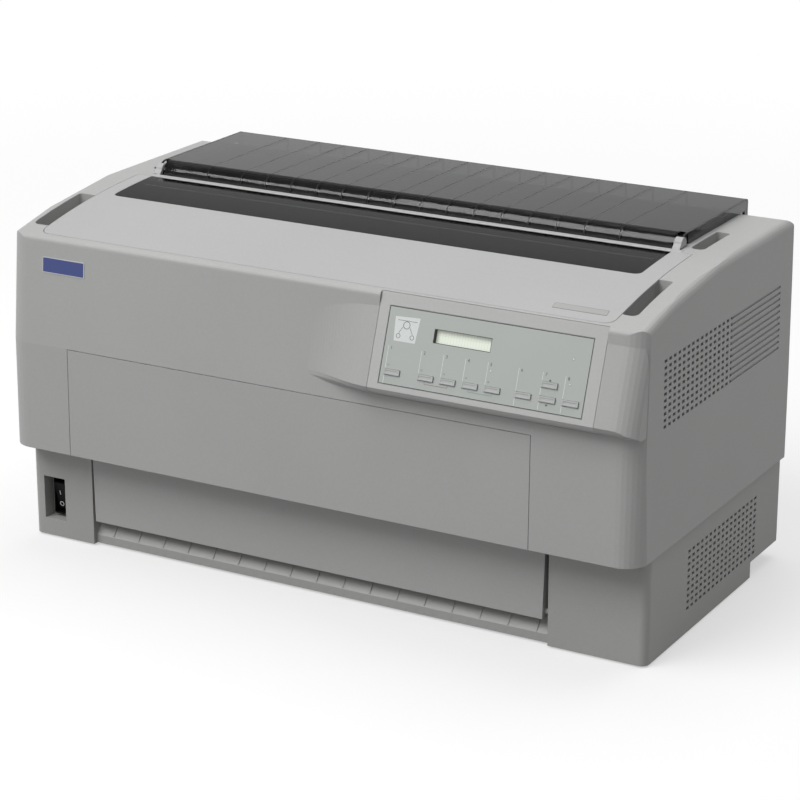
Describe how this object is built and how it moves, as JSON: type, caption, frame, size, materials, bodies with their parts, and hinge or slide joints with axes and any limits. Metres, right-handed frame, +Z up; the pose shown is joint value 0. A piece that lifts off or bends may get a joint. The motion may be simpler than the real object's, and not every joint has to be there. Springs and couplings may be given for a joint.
{
  "type": "wide carriage dot matrix printer",
  "caption": "Wide box-shaped dot matrix printer with hinged smoked covers, leaning control panel, paper tractors, platen and travelling print head.",
  "frame": {"origin": "middle of the footprint on the table, with all covers closed", "axes": "+X to the right seen from the front, +Y to the back, +Z up"},
  "size_m": [0.7, 0.3812, 0.3635],
  "materials": {
    "housing_plastic": "fine moulded texture",
    "lower_case_plastic": "fine moulded texture",
    "cover_plastic": "fine moulded texture",
    "smoked_plastic": "polished smoked sheet",
    "overlay_film": "satin printed film",
    "button_plastic": "satin",
    "circuit_board": "solder mask",
    "zinc_steel": "zinc plated sheet",
    "ground_steel": "ground and polished",
    "belt_rubber": "matt",
    "motor_black": "satin black",
    "black_plastic": "moulded black",
    "foot_rubber": "matt",
    "ribbon_fabric": "inked woven ribbon",
    "platen_rubber": "ground rubber",
    "gear_plastic": "acetal",
    "head_aluminium": "cast and finned",
    "tractor_plastic": "moulded",
    "lever_plastic": "moulded"
  },
  "bodies": {
    "machine": {"lower_case": "lower_case_plastic", "upper_housing": "housing_plastic", "hinge_bar": "cover_plastic", "control_panel": "housing_plastic", "panel_overlay": "overlay_film", "panel_board": "circuit_board", "paper_guide": "housing_plastic", "side_frame_left": "zinc_steel", "side_frame_right": "zinc_steel", "frame_beam": "zinc_steel", "carriage_shaft": "ground_steel", "support_shafts": "ground_steel", "timing_belt": "belt_rubber", "carriage_motor": "motor_black", "feed_motor": "motor_black", "power_supply": "zinc_steel", "main_board": "circuit_board", "ac_inlet": "black_plastic", "feet": "foot_rubber", "screws": "zinc_steel", "ribbon_cartridge": "black_plastic", "ribbon_band": "ribbon_fabric"},
    "printer_cover": {"printer_cover": "cover_plastic", "cover_window": "smoked_plastic"},
    "platen": {"platen": "platen_rubber", "platen_gear": "gear_plastic"},
    "carriage": {"carriage": "black_plastic", "print_head": "head_aluminium"},
    "eject_cover": {"eject_cover": "smoked_plastic"},
    "front_cover": {"front_cover": "housing_plastic"},
    "rear_cover": {"rear_cover": "housing_plastic"},
    "power_rocker": {"power_rocker": "black_plastic"},
    "button_1": {"button_1": "button_plastic"},
    "button_2": {"button_2": "button_plastic"},
    "button_3": {"button_3": "button_plastic"},
    "button_4": {"button_4": "button_plastic"},
    "button_5": {"button_5": "button_plastic"},
    "button_6": {"button_6": "button_plastic"},
    "button_7": {"button_7": "button_plastic"},
    "button_8": {"button_8": "button_plastic"},
    "button_9": {"button_9": "button_plastic"},
    "feed_pinion": {"feed_pinion": "gear_plastic"},
    "idler_gear": {"idler_gear": "gear_plastic"},
    "front_drive_shaft": {"front_drive_shaft": "ground_steel"},
    "rear_drive_shaft": {"rear_drive_shaft": "ground_steel"},
    "motor_pulley": {"motor_pulley": "gear_plastic"},
    "idler_pulley": {"idler_pulley": "gear_plastic"},
    "ribbon_knob": {"ribbon_knob": "black_plastic"},
    "tractor_front_left": {"tractor_front_left": "tractor_plastic"},
    "tractor_front_left_cover": {"tractor_front_left_cover": "tractor_plastic"},
    "tractor_front_left_lever": {"tractor_front_left_lever": "lever_plastic"},
    "tractor_front_right": {"tractor_front_right": "tractor_plastic"},
    "tractor_front_right_cover": {"tractor_front_right_cover": "tractor_plastic"},
    "tractor_front_right_lever": {"tractor_front_right_lever": "lever_plastic"},
    "tractor_rear_left": {"tractor_rear_left": "tractor_plastic"},
    "tractor_rear_left_cover": {"tractor_rear_left_cover": "tractor_plastic"},
    "tractor_rear_left_lever": {"tractor_rear_left_lever": "lever_plastic"},
    "tractor_rear_right": {"tractor_rear_right": "tractor_plastic"},
    "tractor_rear_right_cover": {"tractor_rear_right_cover": "tractor_plastic"},
    "tractor_rear_right_lever": {"tractor_rear_right_lever": "lever_plastic"}
  },
  "joints": [
    {"name": "printer_cover_hinge", "type": "hinge", "parent": "machine", "child": "printer_cover", "pos_m": [0, 0.003, 0.3453], "axis": [-1, 0, 0], "range_deg": [0, 75]},
    {"name": "eject_cover_hinge", "type": "hinge", "parent": "machine", "child": "eject_cover", "pos_m": [0, 0.034, 0.355], "axis": [1, 0, 0], "range_deg": [0, 85]},
    {"name": "front_cover_hinge", "type": "hinge", "parent": "machine", "child": "front_cover", "pos_m": [0, -0.137, 0.034], "axis": [1, 0, 0], "range_deg": [0, 75]},
    {"name": "rear_cover_hinge", "type": "hinge", "parent": "machine", "child": "rear_cover", "pos_m": [0, 0.175, 0.171], "axis": [-1, 0, 0], "range_deg": [0, 100]},
    {"name": "power_rocker_hinge", "type": "hinge", "parent": "machine", "child": "power_rocker", "pos_m": [-0.32, -0.127, 0.043], "axis": [-1, 0, 0], "range_deg": [0, 23]},
    {"name": "button_1_press", "type": "slide", "parent": "machine", "child": "button_1", "axis": [0, 0.9427, -0.3336], "range_m": [0, 0.0012], "stiffness_N_per_m": 800},
    {"name": "button_2_press", "type": "slide", "parent": "machine", "child": "button_2", "axis": [0, 0.9427, -0.3336], "range_m": [0, 0.0012], "stiffness_N_per_m": 800},
    {"name": "button_3_press", "type": "slide", "parent": "machine", "child": "button_3", "axis": [0, 0.9427, -0.3336], "range_m": [0, 0.0012], "stiffness_N_per_m": 800},
    {"name": "button_4_press", "type": "slide", "parent": "machine", "child": "button_4", "axis": [0, 0.9427, -0.3336], "range_m": [0, 0.0012], "stiffness_N_per_m": 800},
    {"name": "button_5_press", "type": "slide", "parent": "machine", "child": "button_5", "axis": [0, 0.9427, -0.3336], "range_m": [0, 0.0012], "stiffness_N_per_m": 800},
    {"name": "button_6_press", "type": "slide", "parent": "machine", "child": "button_6", "axis": [0, 0.9427, -0.3336], "range_m": [0, 0.0012], "stiffness_N_per_m": 800},
    {"name": "button_7_press", "type": "slide", "parent": "machine", "child": "button_7", "axis": [0, 0.9427, -0.3336], "range_m": [0, 0.0012], "stiffness_N_per_m": 800},
    {"name": "button_8_press", "type": "slide", "parent": "machine", "child": "button_8", "axis": [0, 0.9427, -0.3336], "range_m": [0, 0.0012], "stiffness_N_per_m": 800},
    {"name": "button_9_press", "type": "slide", "parent": "machine", "child": "button_9", "axis": [0, 0.9427, -0.3336], "range_m": [0, 0.0012], "stiffness_N_per_m": 800},
    {"name": "platen_turn", "type": "hinge", "parent": "machine", "child": "platen", "pos_m": [0, 0.048, 0.285], "axis": [1, 0, 0], "continuous": true},
    {"name": "idler_turn", "type": "hinge", "parent": "machine", "child": "idler_gear", "pos_m": [0.282, -0.03069, 0.2233], "axis": [1, 0, 0], "continuous": true},
    {"name": "front_shaft_turn", "type": "hinge", "parent": "machine", "child": "front_drive_shaft", "pos_m": [0, -0.10498, 0.16505], "axis": [1, 0, 0], "continuous": true},
    {"name": "rear_shaft_turn", "type": "hinge", "parent": "machine", "child": "rear_drive_shaft", "pos_m": [0, 0.10997, 0.24994], "axis": [1, 0, 0], "continuous": true},
    {"name": "pinion_turn", "type": "hinge", "parent": "machine", "child": "feed_pinion", "pos_m": [0.282, 0.0106, 0.16432], "axis": [1, 0, 0], "continuous": true},
    {"name": "carriage_travel", "type": "slide", "parent": "machine", "child": "carriage", "axis": [1, 0, 0], "range_m": [-0.35, 0.04]},
    {"name": "motor_pulley_turn", "type": "hinge", "parent": "machine", "child": "motor_pulley", "pos_m": [0.24, -0.062, 0.25], "axis": [0, 0, 1], "range_deg": [-2100, 300]},
    {"name": "idler_pulley_turn", "type": "hinge", "parent": "machine", "child": "idler_pulley", "pos_m": [-0.262, -0.062, 0.25], "axis": [0, 0, 1], "range_deg": [-2100, 300]},
    {"name": "ribbon_knob_turn", "type": "hinge", "parent": "machine", "child": "ribbon_knob", "pos_m": [-0.268, -0.02, 0.318], "axis": [0, 0, 1], "continuous": true},
    {"name": "tractor_front_left_shift", "type": "slide", "parent": "machine", "child": "tractor_front_left", "axis": [1, 0, 0], "range_m": [-0.012, 0.15]},
    {"name": "tractor_front_left_cover_hinge", "type": "hinge", "parent": "tractor_front_left", "child": "tractor_front_left_cover", "pos_m": [-0.23, -0.12248, 0.18705], "axis": [0, 0, -1], "range_deg": [0, 100]},
    {"name": "tractor_front_left_lever_hinge", "type": "hinge", "parent": "tractor_front_left", "child": "tractor_front_left_lever", "pos_m": [-0.1936, -0.10498, 0.20905], "axis": [1, 0, 0], "range_deg": [0, 50]},
    {"name": "tractor_front_right_shift", "type": "slide", "parent": "machine", "child": "tractor_front_right", "axis": [1, 0, 0], "range_m": [-0.15, 0.012]},
    {"name": "tractor_front_right_cover_hinge", "type": "hinge", "parent": "tractor_front_right", "child": "tractor_front_right_cover", "pos_m": [0.21, -0.12248, 0.18705], "axis": [0, 0, 1], "range_deg": [0, 100]},
    {"name": "tractor_front_right_lever_hinge", "type": "hinge", "parent": "tractor_front_right", "child": "tractor_front_right_lever", "pos_m": [0.1736, -0.10498, 0.20905], "axis": [1, 0, 0], "range_deg": [0, 50]},
    {"name": "tractor_rear_left_shift", "type": "slide", "parent": "machine", "child": "tractor_rear_left", "axis": [1, 0, 0], "range_m": [-0.012, 0.15]},
    {"name": "tractor_rear_left_cover_hinge", "type": "hinge", "parent": "tractor_rear_left", "child": "tractor_rear_left_cover", "pos_m": [-0.23, 0.13197, 0.26744], "axis": [0, -1, 0], "range_deg": [0, 100]},
    {"name": "tractor_rear_left_lever_hinge", "type": "hinge", "parent": "tractor_rear_left", "child": "tractor_rear_left_lever", "pos_m": [-0.1936, 0.15397, 0.24994], "axis": [1, 0, 0], "range_deg": [0, 50]},
    {"name": "tractor_rear_right_shift", "type": "slide", "parent": "machine", "child": "tractor_rear_right", "axis": [1, 0, 0], "range_m": [-0.15, 0.012]},
    {"name": "tractor_rear_right_cover_hinge", "type": "hinge", "parent": "tractor_rear_right", "child": "tractor_rear_right_cover", "pos_m": [0.21, 0.13197, 0.26744], "axis": [0, 1, 0], "range_deg": [0, 100]},
    {"name": "tractor_rear_right_lever_hinge", "type": "hinge", "parent": "tractor_rear_right", "child": "tractor_rear_right_lever", "pos_m": [0.1736, 0.15397, 0.24994], "axis": [1, 0, 0], "range_deg": [0, 50]}
  ],
  "couplings": [
    {"joint": "idler_turn", "follows": "platen_turn", "ratio": -0.66667},
    {"joint": "front_shaft_turn", "follows": "platen_turn", "ratio": 1.1628},
    {"joint": "pinion_turn", "follows": "platen_turn", "ratio": 3.3333},
    {"joint": "rear_shaft_turn", "follows": "platen_turn", "ratio": -1.2821},
    {"joint": "motor_pulley_turn", "follows": "carriage_travel", "rad_per_m": 100},
    {"joint": "idler_pulley_turn", "follows": "carriage_travel", "rad_per_m": 100}
  ]
}
